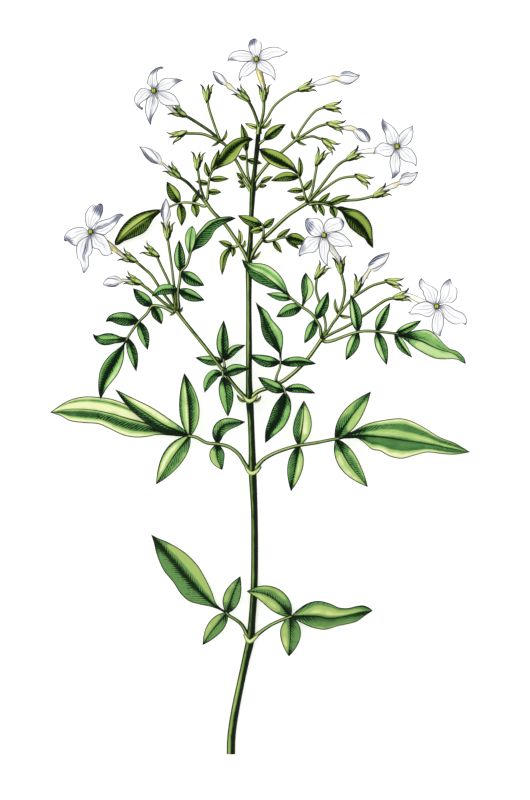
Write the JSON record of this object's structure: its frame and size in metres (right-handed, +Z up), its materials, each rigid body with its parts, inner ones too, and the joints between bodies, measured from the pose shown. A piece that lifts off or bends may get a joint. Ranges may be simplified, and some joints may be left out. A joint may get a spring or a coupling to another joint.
{
  "type": "jasmine flower sprig",
  "caption": "Cut sprig of common jasmine lying flat: a green stem with arching side shoots, pinnate leaves, white star-shaped flowers and pointed buds.",
  "frame": {"origin": "on the surface that the sprig lies on, under the middle of its box", "axes": "+Y runs along the main stem from the cut end to the top flower, +Z is up from the surface, and +X is to the right for someone who looks down with the cut end nearest"},
  "size_m": [0.1768, 0.3002, 0.0208],
  "materials": {
    "stem": "green stem with a pale ridge, faintly grooved, matt",
    "leaf": "thin green blade with a dark midrib and paler halves, matt",
    "petal": "white petal with fine grey-blue veins, soft and matt",
    "anther": "yellow-green pollen sac, matt"
  },
  "bodies": {
    "root": {"main_stem": "stem", "left_shoot": "stem", "right_shoot": "stem", "high_left_shoot": "stem", "high_right_shoot": "stem", "crown_left_cyme": "stem", "crown_right_cyme": "stem", "top_cyme": "stem", "low_left_leaf": "leaf", "low_right_leaf": "leaf", "second_left_leaf": "leaf", "second_right_leaf": "leaf", "left_shoot_back_leaf": "leaf", "left_shoot_front_leaf": "leaf", "left_shoot_outer_leaf": "leaf", "left_shoot_inner_leaf": "leaf", "right_shoot_upper_leaf": "leaf", "right_shoot_lower_leaf": "leaf", "right_shoot_inner_leaf": "leaf", "right_shoot_outer_leaf": "leaf", "high_left_small_leaf": "leaf", "high_left_outer_leaf": "leaf", "high_left_inner_leaf": "leaf", "high_right_front_leaf": "leaf", "high_right_small_leaf": "leaf", "high_right_inner_leaf": "leaf", "high_right_outer_leaf": "leaf", "crown_left_leaf": "leaf", "crown_middle_leaf": "leaf", "crown_right_leaf": "leaf", "top_leaf": "leaf", "flower_1": "petal", "flower_2": "petal", "flower_3": "petal", "flower_4": "petal", "flower_5": "petal", "flower_6": "petal", "flower_1_anthers": "anther", "flower_2_anthers": "anther", "flower_3_anthers": "anther", "flower_4_anthers": "anther", "flower_5_anthers": "anther", "flower_6_anthers": "anther", "bud_1": "petal", "bud_2": "petal", "bud_3": "petal", "bud_4": "petal", "bud_5": "petal", "bud_6": "petal", "bud_7": "petal", "bud_8": "petal"}
  },
  "joints": []
}
